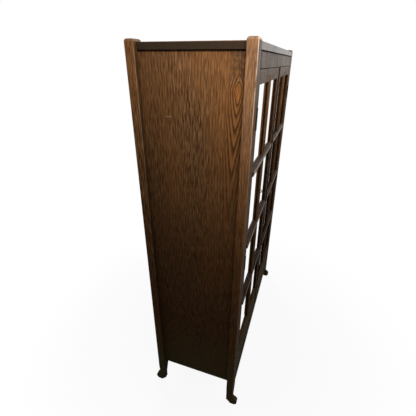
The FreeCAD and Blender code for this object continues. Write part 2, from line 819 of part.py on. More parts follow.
def hinge_pin(name, side, number):
    """A plain pin, flush with the ends of the knuckles."""
    base = ("pin_x" if side > 0 else "-pin_x", "-pin_y", hinge_level(number))
    return rod(name, base, "pin_radius", "hinge_height")


def hinges(side, door):
    """Groups of post leaves, door leaves and pins for one door."""
    numbers = range(count("hinge_count"))
    post_leaves = [leaf("%s_post_leaf_%d" % (door, number), side, number, True) for number in numbers]
    door_leaves = [leaf("%s_door_leaf_%d" % (door, number), side, number, False) for number in numbers]
    pins = [hinge_pin("%s_pin_%d" % (door, number), side, number) for number in numbers]
    return [group(door + "_hinge_post_leaves", post_leaves), group(door + "_hinge_door_leaves", door_leaves),
            group(door + "_hinge_pins", pins)]


LOCK_Z = ("lock_level - lock_height / 2", "lock_level + lock_height / 2")
LOCK_Y = front("door_back + lock_depth", "door_back")


def keyhole(name, outer, inner):
    """A round hole with a slot under it, for the shank and the bit, between two faces."""
    start = ("key_x", "-(%s)" % outer, "lock_level")
    length = "(%s) - (%s)" % (outer, inner)
    hole = rod(name + "_hole", start, "shank_radius + running_clear", length, "y")
    slot_x = ("key_x - bit_thick / 2 - moving_clear", "key_x + bit_thick / 2 + moving_clear")
    slot_z = ("lock_level - bit_reach - moving_clear", "lock_level")
    return [hole, block(name + "_slot", slot_x, front(outer, inner), slot_z)]


def bolt_way(name, low, high):
    """The space that the lock bolt slides through, between two limits in X."""
    half = "(bolt_thick / 2 + moving_clear)"
    levels = ("bolt_level - moving_clear", "bolt_level + bolt_height + moving_clear")
    return block(name, (low, high), front("bolt_middle + " + half, "bolt_middle - " + half), levels)


def lock_housing(name):
    """Tools that let the lock into the right door's meeting stile."""
    pocket = block(name + "_lock_pocket", ("door_edge - overrun", "door_edge + lock_width"),
                   front("door_back + lock_depth", "door_back - overrun"), LOCK_Z)
    return [pocket] + keyhole(name + "_keyhole", "door_face + overrun", "door_back + lock_depth")


def lock_parts():
    """Lock case, bolt, key and escutcheon of the right door."""
    case = block("lock_case_body", ("door_edge", "door_edge + lock_width"), LOCK_Y, LOCK_Z)
    bolt_x = ("door_edge + bolt_start", "door_edge + bolt_start + bolt_length")
    channel = bolt_way("lock_channel", "door_edge - overrun", bolt_x[1] + " + moving_clear")
    sweep = "(bit_reach + moving_clear)"
    half = "(bit_width / 2 + moving_clear)"
    chamber = block("lock_chamber", ("key_x - " + sweep, "key_x + " + sweep),
                    front("bolt_middle + " + half, "bolt_middle - " + half),
                    ("lock_level - " + sweep, "lock_level + " + sweep))
    way_in = keyhole("lock_keyhole", "door_back + lock_depth + overrun", "bolt_middle")
    lock_case = cut("lock_case", case, [channel, chamber] + way_in)
    bolt_y = front("bolt_middle + bolt_thick / 2", "bolt_middle - bolt_thick / 2")
    bolt = block("lock_bolt", bolt_x, bolt_y, ("bolt_level", "bolt_level + bolt_height"))
    return [lock_case, bolt, key(), escutcheon()]


def key():
    """The key: a round shank, a flat bit that hangs down and a ring bow that stands upright."""
    shank = rod("key_shank", ("key_x", "-bow_level + bow_radius", "lock_level"), "shank_radius",
                "bow_level - bow_radius - key_tip", "y")
    bit = block("key_bit", ("key_x - bit_thick / 2", "key_x + bit_thick / 2"),
                front("key_tip + bit_width", "key_tip"), ("lock_level - bit_reach", "lock_level"))
    disc_base = ("key_x - bow_thick / 2", "-bow_level", "lock_level")
    disc = rod("key_disc", disc_base, "bow_radius + bow_wire", "bow_thick", "x")
    eye_base = ("key_x - bow_thick / 2 - overrun", "-bow_level", "lock_level")
    eye = rod("key_eye", eye_base, "bow_radius - bow_wire", "bow_thick + 2 * overrun", "x")
    return fuse("key", [shank, bit, cut("key_bow", disc, [eye])])


def escutcheon():
    """The plate round the keyhole on the front of the right door."""
    plate = block("escutcheon_plate", ("key_x - escutcheon_width / 2", "key_x + escutcheon_width / 2"),
                  front("door_face + escutcheon_thick", "door_face"),
                  ("lock_level - escutcheon_height / 2", "lock_level + escutcheon_height / 2"))
    return cut("escutcheon", plate, keyhole("escutcheon_keyhole", "door_face + overrun", "door_back"))


STRIKE_Y = front("bolt_middle + lock_depth / 2", "bolt_middle - lock_depth / 2")
STRIKE_Z = ("bolt_level + (bolt_height - strike_height) / 2",
            "bolt_level + (bolt_height + strike_height) / 2")


def strike_hole(name):
    """The space that the thrown lock bolt enters."""
    return bolt_way(name, "-(door_edge + strike_depth)", "-door_edge + overrun")


def strike_housing(name):
    """Tools that let the strike plate and the thrown bolt into the left door's meeting stile."""
    across = ("-(door_edge + strike_thick)", "-door_edge + overrun")
    return [block(name + "_strike_pocket", across, STRIKE_Y, STRIKE_Z), strike_hole(name + "_strike_hole")]


def strike_plate():
    """A thin plate round the lock bolt's hole."""
    plate = block("strike_blank", ("-(door_edge + strike_thick)", "-door_edge"), STRIKE_Y, STRIKE_Z)
    return cut("strike_plate", plate, [strike_hole("strike_opening")])


def cover_bead():
    """A round-nosed strip up the right door's meeting edge."""
    body = doc.addObject("PartDesign::Body", "cover_bead")
    sketch = new_sketch(body, "XY_Plane", "cover_bead_section")
    outline(sketch, (("0", "0"), ("0", "-bead_cover_proud"), ("bead_cover_width", "-bead_cover_proud"),
                     ("bead_cover_width", "0")))
    strip = pad(body, sketch, "door_height")
    crest = -value("bead_cover_proud")
    arrises = edges_where(strip, lambda point: abs(point.y - crest) < TINY, VECTOR(0, 0, 1))
    ease(body, "Fillet", arrises, "bead_cover_round")
    place(body, ("door_edge", "-door_face", "door_bottom"))
    return body


def slide_space(name, play, levels):
    """The place of a slide bolt's flat bar, widened by a play on each side."""
    across = "(slide_width / 2 + (%s))" % play
    along = "(slide_thick / 2 + (%s))" % play
    return block(name, mirrored(-1, "slide_x - " + across, "slide_x + " + across),
                 front("slide_y + " + along, "slide_y - " + along), levels)


def slide_bolt(name, upper):
    """A slide bolt on the back of the left door: a flat bar with a knob, and a plate with two staples."""
    if upper:
        bar_z = ("slide_top - slide_length", "slide_top")
        plate_z = ("door_top - slide_plate_height", "door_top")
        knob_level = "door_top - (slide_plate_height + slide_throw) / 2"
    else:
        bar_z = ("slide_bottom", "slide_bottom + slide_length")
        plate_z = ("door_bottom", "door_bottom + slide_plate_height")
        knob_level = "door_bottom + (slide_plate_height + slide_throw) / 2"
    bar = slide_space(name + "_bar", "0", bar_z)
    neck_reach = "slide_thick / 2 + slide_neck_length"
    neck = rod(name + "_neck", ("-slide_x", "-slide_y", knob_level), "slide_neck_radius", neck_reach, "y")
    knob_base = ("-slide_x", "-slide_y + " + neck_reach, knob_level)
    knob = rod(name + "_knob", knob_base, "slide_knob_radius", "slide_knob_thick", "y")
    moving = fuse(name, [bar, neck, knob])
    plate_x = mirrored(-1, "slide_x - slide_plate_width / 2", "slide_x + slide_plate_width / 2")
    members = [block(name + "_sheet", plate_x, front("door_back", "door_back - slide_plate_thick"), plate_z)]
    half = "(slide_width / 2 + moving_clear + staple_wall)"
    staple_x = mirrored(-1, "slide_x - " + half, "slide_x + " + half)
    staple_y = front("door_back", "slide_y - slide_thick / 2 - moving_clear - staple_wall")
    for number, low in enumerate((plate_z[0], plate_z[1] + " - staple_height")):
        staple_z = (low, low + " + staple_height")
        members.append(block("%s_staple_%d" % (name, number), staple_x, staple_y, staple_z))
    way = slide_space(name + "_way", "moving_clear", (plate_z[0] + " - overrun", plate_z[1] + " + overrun"))
    return [moving, cut(name + "_plate", fuse(name + "_fixed", members), [way])]


def bolt_keeper():
    """The block behind the frieze rail that takes the upper slide bolt."""
    half = "(slide_width / 2 + moving_clear + staple_wall)"
    levels = ("frieze_under", "frieze_under + keeper_height")
    body = block("keeper_body", mirrored(-1, "slide_x - " + half, "slide_x + " + half),
                 front("half_depth - frieze_recess - rail_thick", "slide_y - " + half), levels)
    way = slide_space("keeper_way", "moving_clear", (levels[0] + " - overrun", levels[1] + " + overrun"))
    return cut("bolt_keeper", body, [way])


def door(side):
    """All the wood and glass of one door, with its hinges."""
    name = "left_door" if side < 0 else "right_door"
    bars = [cross_bar(side, name, number) for number in range(1, count("row_count"))]
    uprights = [muntin(side, name, row, bars) for row in range(count("row_count"))]
    frame = [stile(side, name, True), stile(side, name, False), top_rail(side, name), bottom_rail(side, name)]
    frame += [group(name + "_cross_bars", bars), group(name + "_muntins", uprights)]
    return frame + glazing(side, name) + hinges(side, name)


def build():
    """Make every sub-part, in the order in which the case goes together."""
    corners = [(side, end) for end in (-1, 1) for side in (-1, 1)]
    parts = [post(side, end) for side, end in corners] + [foot(side, end) for side, end in corners]
    parts += [side_panel(-1), side_panel(1), top_board(), frieze_rail()]
    label, limits, levels = rails(-1)[1]
    parts.append(rail("sill_rail", limits, levels))
    for label, limits, levels in rails(1):
        parts.append(rail("back_%s_rail" % label, limits, levels))
    parts += [bottom_board(), back_boards()] + shelf_parts()
    parts += door(-1) + door(1)
    parts += lock_parts() + [strike_plate(), cover_bead()]
    parts += slide_bolt("top_bolt", True) + slide_bolt("bottom_bolt", False) + [bolt_keeper()]
    return parts


def check(parts):
    """Stop if any object failed or any sub-part is not a sound solid."""
    for item in doc.Objects:
        if "Invalid" in item.State or "Error" in item.State:
            raise RuntimeError("%s failed" % item.Label)
    for part in parts:
        if part.Shape.isNull() or not part.Shape.isValid():
            raise RuntimeError("%s has no sound shape" % part.Label)


def write(parts):
    """Write one file for each sub-part."""
    os.makedirs("parts", exist_ok=True)
    for part in parts:
        part.Shape.exportStep("parts/%s.step" % part.Label)
        print("%-28s %2d solids %10.0f mm3" % (part.Label, len(part.Shape.Solids), part.Shape.Volume))


fill_sheet()
PARTS = build()
doc.recompute()
check(PARTS)
write(PARTS)
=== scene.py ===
"""Looks of the oak bookcase with glass doors: oak, glass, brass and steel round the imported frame.

Everything is in metres, with X to the right, Y to the back and Z up.
"""

import json
import math
from types import SimpleNamespace

import bmesh
import bpy
from mathutils import Matrix, Quaternion, Vector


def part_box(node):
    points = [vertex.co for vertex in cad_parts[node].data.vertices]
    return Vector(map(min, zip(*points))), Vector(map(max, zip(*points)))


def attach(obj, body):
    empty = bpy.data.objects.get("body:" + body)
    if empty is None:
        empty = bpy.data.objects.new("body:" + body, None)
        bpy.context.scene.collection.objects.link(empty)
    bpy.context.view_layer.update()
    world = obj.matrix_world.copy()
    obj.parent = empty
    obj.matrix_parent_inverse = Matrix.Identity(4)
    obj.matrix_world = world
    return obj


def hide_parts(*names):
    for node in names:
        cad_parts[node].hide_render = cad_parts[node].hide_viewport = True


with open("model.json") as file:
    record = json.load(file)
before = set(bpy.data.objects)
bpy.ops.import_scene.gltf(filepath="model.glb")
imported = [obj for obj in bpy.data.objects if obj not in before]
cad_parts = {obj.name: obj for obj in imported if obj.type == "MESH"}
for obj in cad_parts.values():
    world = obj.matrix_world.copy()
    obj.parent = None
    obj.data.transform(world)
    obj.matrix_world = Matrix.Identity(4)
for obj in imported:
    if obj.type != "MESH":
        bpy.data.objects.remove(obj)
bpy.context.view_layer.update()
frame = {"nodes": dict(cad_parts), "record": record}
NODES = frame["nodes"]
SLOTS = {row["node"]: row["material_slot"] for row in frame["record"]["subparts"]}
GROUPS = frame["record"]["behaviour"]["bodies"]
BODIES = {node: body for body, members in GROUPS.items() for node in members}

# Small helpers for node trees

# Sockets of a mix node: its factor, its two numbers, its two colours, and the colour that comes out.
MIX_FACTOR = 0
MIX_NUMBERS = (2, 3)
MIX_COLOURS = (6, 7)
MIX_COLOUR_OUT = 2
WHITE = (1, 1, 1, 1)


def new_material(name):
    """A material with an empty node tree and its output."""
    material = bpy.data.materials.new(name)
    material.use_nodes = True
    tree = material.node_tree
    tree.nodes.clear()
    output = tree.nodes.new("ShaderNodeOutputMaterial")
    return material, tree, output


def add(tree, kind, inputs=None, **settings):
    """A node with its settings, and with values or links for its inputs."""
    item = tree.nodes.new(kind)
    for name, setting in settings.items():
        setattr(item, name, setting)
    for key, given in (inputs or {}).items():
        if isinstance(given, bpy.types.NodeSocket):
            tree.links.new(given, item.inputs[key])
        else:
            item.inputs[key].default_value = given
    return item


def math_node(tree, operation, first, second=0.0, clamp=False):
    """The result of one sum."""
    item = add(tree, "ShaderNodeMath", {0: first, 1: second}, operation=operation, use_clamp=clamp)
    return item.outputs[0]


def plus(tree, first, second, clamp=False):
    """Two values added."""
    return math_node(tree, "ADD", first, second, clamp)


def minus(tree, first, second):
    """The second value taken from the first."""
    return math_node(tree, "SUBTRACT", first, second)


def times(tree, first, second, clamp=False):
    """Two values multiplied."""
    return math_node(tree, "MULTIPLY", first, second, clamp)


def product(tree, factors, clamp=False):
    """Several values multiplied."""
    whole = factors[0]
    for factor in factors[1:-1]:
        whole = times(tree, whole, factor)
    return times(tree, whole, factors[-1], clamp)


def size_of(tree, given):
    """A value without its sign."""
    return math_node(tree, "ABSOLUTE", given)


def remap(tree, given, low, high, to_low=0.0, to_high=1.0, smooth=False):
    """A value moved from one range to another and held inside it."""
    kind = "SMOOTHSTEP" if smooth else "LINEAR"
    ends = {"Value": given, "From Min": low, "From Max": high, "To Min": to_low, "To Max": to_high}
    return add(tree, "ShaderNodeMapRange", ends, interpolation_type=kind).outputs[0]


def mix_value(tree, factor, first, second):
    """Two numbers mixed by a factor."""
    inputs = {MIX_FACTOR: factor, MIX_NUMBERS[0]: first, MIX_NUMBERS[1]: second}
    return add(tree, "ShaderNodeMix", inputs).outputs[0]


def blend(tree, factor, first, second, kind="MIX"):
    """Two colours mixed by a factor."""
    item = add(tree, "ShaderNodeMix", data_type="RGBA", blend_type=kind)
    for place, given in zip((MIX_FACTOR,) + MIX_COLOURS, (factor, first, second)):
        if isinstance(given, bpy.types.NodeSocket):
            tree.links.new(given, item.inputs[place])
        else:
            item.inputs[place].default_value = given if isinstance(given, float) else tuple(given) + (1,)
    return item.outputs[MIX_COLOUR_OUT]


def grey(tree, level):
    """One value as a neutral colour."""
    return add(tree, "ShaderNodeCombineColor", {axis: level for axis in range(3)}).outputs[0]


def noise(tree, vector, scale, detail, rough=0.5):
    """A noise value."""
    inputs = {"Vector": vector, "Scale": scale, "Detail": detail, "Roughness": rough}
    return add(tree, "ShaderNodeTexNoise", inputs).outputs["Fac"]


def stretched_noise(tree, vector, scales, detail, rough=0.5, shift=(0.0, 0.0, 0.0)):
    """A noise value with a different scale along each axis."""
    mapped = add(tree, "ShaderNodeMapping", {"Vector": vector, "Scale": scales, "Location": shift})
    return noise(tree, mapped.outputs["Vector"], 1.0, detail, rough)


def bumped(tree, height, strength, depth):
    """A normal that follows a height."""
    inputs = {"Height": height, "Strength": strength, "Distance": depth}
    return add(tree, "ShaderNodeBump", inputs).outputs[0]


def linear(red, green, blue):
    """A colour given as it looks on screen, from 0 to 255, as the shader wants it."""
    def one(level):
        share = level / 255
        return share / 12.92 if share <= 0.04045 else ((share + 0.055) / 1.055) ** 2.4
    return one(red), one(green), one(blue)


# Oak

OAK_DARK = linear(71, 44, 26)
OAK_LIGHT = linear(166, 119, 76)
OAK_ORANGE = linear(165, 106, 54)
OAK_PORE = linear(38, 25, 15)
OAK_WORN = linear(206, 178, 154)
OAK_END = linear(44, 38, 30)
OAK_LINE = linear(56, 44, 36)
OAK_DUST = linear(150, 145, 100)

# Where the axes go when the third one runs along the grain.
GRAIN_ORDER = {"x": ("Y", "Z", "X"), "y": ("X", "Z", "Y"), "z": ("X", "Y", "Z")}

# Parts of the normal between which a face becomes end grain, a face of the front or its edge.
END_FACE = (0.7, 0.97)
FRONT_FACE = (-0.95, -0.6)
FRONT_EDGE = (-0.5, -0.15)

# Noise in the oak: scales across and along the grain, detail and roughness.
OAK_NOISE = {
    "wander": ((8, 8, 1.1), 3.0, 0.5),
    "streak": ((720, 720, 26), 2.0, 0.5),
    "fleck": ((640, 640, 38), 1.0, 0.5),
    "pore": ((950, 950, 30), 2.0, 0.6),
    "patch": ((9, 9, 2.4), 3.0, 0.5),
    "rub": ((55, 55, 22), 4.0, 0.6),
    "mottle": ((60, 60, 14), 3.0, 0.6),
}
NOISE_MIDDLE = 0.5
FLECK_SHIFT = (3, 7, 1)

# Growth rings: how many there are, how they slant and wave, how strong they are, and the shares of a year
# in which the dark line starts and fades.
RINGS_PER_METRE = 130.0
RING_SLANT = 0.8
RING_WAVE = 3.2
RING_STRENGTH = 0.35
RING_START = (0.0, 0.12)
RING_FADE = (0.3, 0.65)

# The side panels' cathedral figure: how far to the front its middle lies, the height of its eye, its slant,
# how fast the pith runs away from the face below the eye, how that slackens and how much faster it is above,
# how far the figure wavers, how pointed its rings are, how many and how wavy they are, the size of the plain
# eye and of its rim, and how far from the middle the figure starts to fade and ends.
FIGURE = {"middle": 0.144, "eye": 1.42, "slant": 0.04, "lean": 0.3, "ease": 4.6, "above": 1.6,
          "waver": 0.012, "point": 1.45, "rings": 155.0, "wave": 0.3, "core": 0.0085, "rim": 0.0005,
          "half": (0.016, 0.04)}

# Heights at which the figure gains strength, its share below them, and where its orange shine ends.
FIGURE_RISE = (0.95, 1.25, 0.25, 1.0)
SHINE_END = (1.435, 1.455)

# Cloudy wood over the figure: the heights where it takes over, its noise and its span.
CLOUD_RISE = (1.45, 1.47)
CLOUD_SCALE = 110.0
CLOUD_DETAIL = 2.0
CLOUD_SPAN = (0.35, 0.6, 0.2, 0.8)

# A scratch on the left side panel: its middle, the distances between which its length and its width fade,
# its strength, and the span in X where the left side ends.
SCRATCH = {"y": 0.0745, "z": 1.34, "long": (0.0078, 0.013), "thin": (0.0011, 0.0022), "depth": 0.36}
LEFT_SIDE = (-0.01, 0.01)

# Spans of the noise, how far each layer covers what is below it, and how far rings decide about pores.
STREAK_SPAN = (0.44, 0.56)
WARM_SPAN = (0.35, 0.7)
FLECK_SPAN = (0.50, 0.68)
PORE_SPAN = (0.52, 0.66)
WARM_SHARE = 0.5
SHINE_SHARE = 0.85
LINE_SHARE = 0.85
FLECK_SHARE = 0.6
PORE_SHARE = 0.7
PORE_IN_RINGS = 0.5
END_SHARE = 0.9

# Dust near the floor, and a pale painted sheen higher up, by height.
DUST_SPAN = (0.1, 0.5, 0.42, 0.0)
PAINTED_SHEEN_RISE = (1.0, 1.35)

# Rubbed arrises: the noise's span, the share on arrises off the front, and the share by height.
RUB_SPAN = (0.3, 0.5)
RUB_ASIDE = 0.15
RUB_RISE = (1.22, 1.42, 0.3, 1.0)

# How the wood darkens, mostly by painted shade: heights and shares of two ramps of painted shade to the
# floor, a span for differences between pieces, the painted shade on the front and its cool tint, which
# paints the grey of its sheen, the painted shade on the side panels towards their back, and the depths where
# painted shade in the recess by the panes begins and is full.
LOW_RISE = (0.05, 1.35)
LOW_SHARE = 0.86
HIGH_RISE = (0.8, 1.42)
HIGH_SHARE = 1.14
PIECE_LEVELS = (0.95, 1.05)
FRONT_SHADE = 0.42
FRONT_TINT = (0.86, 0.97, 1.0)
PANEL_BACK = (0.0, 0.15, 1.0, 0.78)
BY_THE_GLASS = (-0.191, -0.1855)

# A painted shadow in the corner under the top board: how far down it reaches, how dark it is, how far in
# from its ends the painted shade by the posts makes it darker still, and by how much.
SEAM_DEPTH = 0.007
SEAM_LEVEL = 0.12
CORNER_REACH = 0.03
CORNER_LEVEL = 0.3

# The back boards: width with the joint, the shares of it over which the dark joint fades, and levels.
BOARD_PITCH = 0.1604
JOINT_HALF = (0.004, 0.02)
JOINT_LEVEL = 0.3
BOARD_LEVELS = (0.82, 1.12)

# Roughness of the bare wood, and the relief of its grain.
ROUGH_BASE = 0.82
ROUGH_STREAK = 0.2
ROUGH_PORE = 0.1
RELIEF_STREAK = 0.5
RELIEF_STRENGTH = 0.25
RELIEF_DEPTH = 0.0005
BARE_SPECULAR = 0.05

# The film of old polish: the heights over which it gains strength low down and at the top, with what it
# gains there, spans of its noise, and its shares on end grain and in pores.
POLISH_LOW = (0.2, 1.34)
POLISH_LOW_GAIN = 0.14
POLISH_TOP = (1.37, 1.49)
POLISH_TOP_GAIN = 0.62
POLISH_MOTTLE = (0.3, 0.7, 0.62, 1.3)
POLISH_PATCH = (0.3, 0.7, 0.8, 1.0)
POLISH_END = 0.5
POLISH_PORE = 0.6
POLISH_IOR = 1.5


def wood_space(tree, along):
    """Object coordinates, also with the grain along the third axis, and which way the faces look."""
    coordinates = add(tree, "ShaderNodeTexCoord")
    place = coordinates.outputs["Object"]
    parts = add(tree, "ShaderNodeSeparateXYZ", {0: place}).outputs
    turned = [parts[axis] for axis in GRAIN_ORDER[along]]
    board = add(tree, "ShaderNodeCombineXYZ", dict(enumerate(turned))).outputs[0]
    normal = add(tree, "ShaderNodeSeparateXYZ", {0: coordinates.outputs["Normal"]}).outputs
    return SimpleNamespace(
        place=place, board=board, x=parts["X"], y=parts["Y"], z=parts["Z"], wide=turned[0], deep=turned[1],
        end=remap(tree, size_of(tree, normal[along.upper()]), *END_FACE, smooth=True),
        front=remap(tree, normal["Y"], *FRONT_FACE, 1.0, 0.0, smooth=True),
        edge=remap(tree, normal["Y"], *FRONT_EDGE, 1.0, 0.0))


def layer(tree, vector, kind, shift=(0.0, 0.0, 0.0)):
    """One of the oak's noise values."""
    return stretched_noise(tree, vector, *OAK_NOISE[kind], shift)


def rings(tree, radius, wander, per_metre, wave):
    """Growth rings: a dark porous line at the start of each year that fades into denser wood."""
    year = math_node(tree, "FRACT", plus(tree, times(tree, radius, per_metre), times(tree, wander, wave)))
    return times(tree, remap(tree, year, *RING_START), remap(tree, year, *RING_FADE, 1.0, 0.0))


def near(tree, given, middle, span):
    """1 close to a middle value, and 0 further off."""
    return remap(tree, size_of(tree, minus(tree, given, middle)), *span, 1.0, 0.0)


def scratch_mark(tree, wood):
    """A pale scratch across the grain of the left side panel."""
    mark = times(tree, near(tree, wood.y, SCRATCH["y"], SCRATCH["long"]),
                 near(tree, wood.z, SCRATCH["z"], SCRATCH["thin"]))
    return times(tree, mark, remap(tree, wood.x, *LEFT_SIDE, SCRATCH["depth"], 0.0))


def board_shade(tree, wood):
    """How dark each upright back board is: a level of its own, and a dark line at its joints."""
    count = math_node(tree, "DIVIDE", wood.x, BOARD_PITCH)
    number = math_node(tree, "FLOOR", count)
    own = add(tree, "ShaderNodeTexWhiteNoise", {"W": number}, noise_dimensions="1D").outputs["Value"]
    off = size_of(tree, minus(tree, count, math_node(tree, "ROUND", count)))
    joint = remap(tree, off, *JOINT_HALF, JOINT_LEVEL, 1.0)
    return times(tree, joint, remap(tree, own, 0.0, 1.0, *BOARD_LEVELS))


def cathedral(tree, wood, wander):
    """The side panels' figure: its rings, where they show, and where the wood between them is orange."""
    below = minus(tree, FIGURE["eye"], wood.z)
    side = plus(tree, wood.y, minus(tree, FIGURE["middle"], times(tree, below, FIGURE["slant"])))
    wavy = plus(tree, side, times(tree, minus(tree, wander, NOISE_MIDDLE), FIGURE["waver"]))
    down = math_node(tree, "MAXIMUM", below, times(tree, below, -FIGURE["above"]))
    slack = plus(tree, times(tree, down, FIGURE["ease"]), 1.0)
    deep = math_node(tree, "DIVIDE", times(tree, down, FIGURE["lean"]), slack)
    powers = plus(tree, math_node(tree, "POWER", size_of(tree, wavy), FIGURE["point"]),
                  math_node(tree, "POWER", deep, FIGURE["point"]))
    reach = minus(tree, math_node(tree, "POWER", powers, 1 / FIGURE["point"]), FIGURE["core"])
    vees = rings(tree, reach, wander, FIGURE["rings"], FIGURE["wave"])
    vees = times(tree, vees, remap(tree, reach, 0.0, FIGURE["rim"]))
    cloud = remap(tree, noise(tree, wood.place, CLOUD_SCALE, CLOUD_DETAIL), *CLOUD_SPAN)
    vees = mix_value(tree, remap(tree, wood.z, *CLOUD_RISE), vees, cloud)
    inside = remap(tree, size_of(tree, side), *FIGURE["half"], 1.0, 0.0, smooth=True)
    inside = times(tree, inside, remap(tree, wood.z, *FIGURE_RISE))
    return vees, inside, times(tree, inside, remap(tree, wood.z, *SHINE_END, 1.0, 0.0))


def rubbed(tree, wood, wear):
    """How far an arris is worn to pale wood, most on the front and high up."""
    rub = remap(tree, layer(tree, wood.place, "rub"), *RUB_SPAN, 0.0, wear)
    return product(tree, [rub, remap(tree, wood.edge, 0.0, 1.0, RUB_ASIDE, 1.0),
                          remap(tree, wood.z, *RUB_RISE)])


def painted_seam_shadow(tree, wood, seam, ends):
    """How dark a painted shadow makes a board under a joint at some height, darker still at the joint's two
    ends.
    """
    seam_shadow = remap(tree, wood.z, seam - SEAM_DEPTH, seam - SEAM_DEPTH / 2, 1.0, SEAM_LEVEL)
    if ends:
        out = size_of(tree, wood.x)
        seam_shadow = times(tree, seam_shadow, remap(tree, out, ends - CORNER_REACH, ends, 1.0, CORNER_LEVEL))
    return seam_shadow


def oak(name, along="z", figure=False, tone=1.0, film=1.0, wear=0.0, base=0.28, glass_shade=1.0,
        haze=0.0, seam=None, ends=None, dull=0.4, aside=0.5, boards=False):
    """Stained oak with grain along one axis: rings, streaks, pores, patches, dark ends and painted shade low
    down.

    tone is its brightness, and base is about the share of that left at the floor by painted shade. film is
    the strength of its polish, dull the polish's roughness and aside the polish's share off the front. wear
    is how worn its arrises are, haze how pale a painted sheen makes it high up, and glass_shade its level
    under the painted shade in the recess by the glass. seam is the height of a joint over it, under which a
    shadow is painted, and ends is how far from the middle that joint ends, where the painted shade is darker
    still. figure adds the side panels' figure, and boards the shades of the back boards.
    """
    material, tree, output = new_material(name)
    wood = wood_space(tree, along)
    wander = layer(tree, wood.board, "wander")
    streak = layer(tree, wood.board, "streak")
    patch = layer(tree, wood.board, "patch")
    radius = plus(tree, wood.wide, times(tree, wood.deep, RING_SLANT))
    early = times(tree, rings(tree, radius, wander, RINGS_PER_METRE, RING_WAVE), RING_STRENGTH)
    warm = times(tree, remap(tree, patch, *WARM_SPAN), WARM_SHARE)
    if figure:
        vees, inside, shine = cathedral(tree, wood, wander)
        early = mix_value(tree, inside, early, vees)
        warm = math_node(tree, "MAXIMUM", warm, times(tree, shine, SHINE_SHARE))
    flecks = remap(tree, layer(tree, wood.board, "fleck", FLECK_SHIFT), *FLECK_SPAN)
    porous = plus(tree, times(tree, early, PORE_IN_RINGS), 1 - PORE_IN_RINGS)
    pores = times(tree, remap(tree, layer(tree, wood.board, "pore"), *PORE_SPAN), porous)

    body = blend(tree, remap(tree, streak, *STREAK_SPAN), OAK_DARK, OAK_LIGHT)
    body = blend(tree, warm, body, OAK_ORANGE)
    for share, most, colour in ((early, LINE_SHARE, OAK_LINE), (flecks, FLECK_SHARE, OAK_DARK),
                                (pores, PORE_SHARE, OAK_PORE), (wood.end, END_SHARE, OAK_END)):
        body = blend(tree, times(tree, share, most), body, colour)
    body = blend(tree, remap(tree, wood.z, *DUST_SPAN, smooth=True), body, OAK_DUST)
    if figure:
        body = blend(tree, scratch_mark(tree, wood), body, OAK_WORN)
    # a pale painted sheen high up
    if haze:
        body = blend(tree, remap(tree, wood.z, *PAINTED_SHEEN_RISE, 0.0, haze), body, OAK_WORN)
    if wear:
        body = blend(tree, rubbed(tree, wood, wear), body, OAK_WORN)

    # painted shade towards the floor, in the recess by the glass and on the front; each piece a little
    # different
    chance = add(tree, "ShaderNodeObjectInfo").outputs["Random"]
    low = math.sqrt(base)
    levels = [remap(tree, wood.z, *LOW_RISE, low * LOW_SHARE * tone, tone),
              remap(tree, wood.z, *HIGH_RISE, low * HIGH_SHARE, 1.0),
              remap(tree, wood.y, *BY_THE_GLASS, 1.0, glass_shade),
              remap(tree, chance, 0.0, 1.0, *PIECE_LEVELS),
              remap(tree, wood.front, 0.0, 1.0, 1.0, FRONT_SHADE + (1 - FRONT_SHADE) * wear)]
    # painted shade on the side panels towards their back
    if figure:
        levels.append(remap(tree, wood.y, *PANEL_BACK, smooth=True))
    if boards:
        levels.append(board_shade(tree, wood))

    # the film of old polish is worn away towards the floor and broken by the pores
    polish = [plus(tree, remap(tree, wood.z, *POLISH_LOW, 0.0, POLISH_LOW_GAIN * film),
                   remap(tree, wood.z, *POLISH_TOP, 0.0, POLISH_TOP_GAIN * film)),
              remap(tree, wood.front, 0.0, 1.0, aside, 1.0),
              remap(tree, layer(tree, wood.place, "mottle"), *POLISH_MOTTLE),
              remap(tree, patch, *POLISH_PATCH),
              remap(tree, wood.end, 0.0, 1.0, 1.0, POLISH_END)]
    # a painted shadow under the top board, with less polish in it
    if seam:
        seam_shadow = painted_seam_shadow(tree, wood, seam, ends)
        levels.append(seam_shadow)
        polish.append(seam_shadow)
    polish.append(remap(tree, pores, 0.0, 1.0, 1.0, POLISH_PORE))

    colour = blend(tree, 1.0, body, grey(tree, product(tree, levels)), "MULTIPLY")
    # a cool tint on the front, painted to stand in for the grey of its sheen
    colour = blend(tree, times(tree, wood.front, 1 - wear), colour, FRONT_TINT, "MULTIPLY")
    gloss = plus(tree, times(tree, streak, ROUGH_STREAK), ROUGH_BASE)
    gloss = plus(tree, gloss, times(tree, pores, ROUGH_PORE), clamp=True)
    relief = minus(tree, times(tree, streak, RELIEF_STREAK), pores)
    shader = add(tree, "ShaderNodeBsdfPrincipled", {
        "Base Color": colour, "Roughness": gloss, "Specular IOR Level": BARE_SPECULAR,
        "Normal": bumped(tree, relief, RELIEF_STRENGTH, RELIEF_DEPTH),
        "Coat Weight": product(tree, polish, clamp=True), "Coat Roughness": dull, "Coat IOR": POLISH_IOR})
    tree.links.new(shader.outputs[0], output.inputs["Surface"])
    return material


# Glass and metal

# Waves in the panes: scales, detail, bump, and the tint at either end of their span.
RIPPLE_SCALES = (5, 5, 3)
RIPPLE_DETAIL = 2.0
RIPPLE_STRENGTH = 0.012
RIPPLE_DEPTH = 0.004
RIPPLE_SPAN = (0.35, 0.65)
GLASS_TINTS = ((0.95, 0.975, 0.96), (0.93, 0.955, 0.935))
LIT_TINT = (0.95, 0.965, 0.955, 1)

# Haze on the panes: scale, detail and span of its roughness.
HAZE_SCALE = 14.0
HAZE_DETAIL = 4.0
HAZE_SPAN = (0.3, 0.8, 0.0, 0.03)

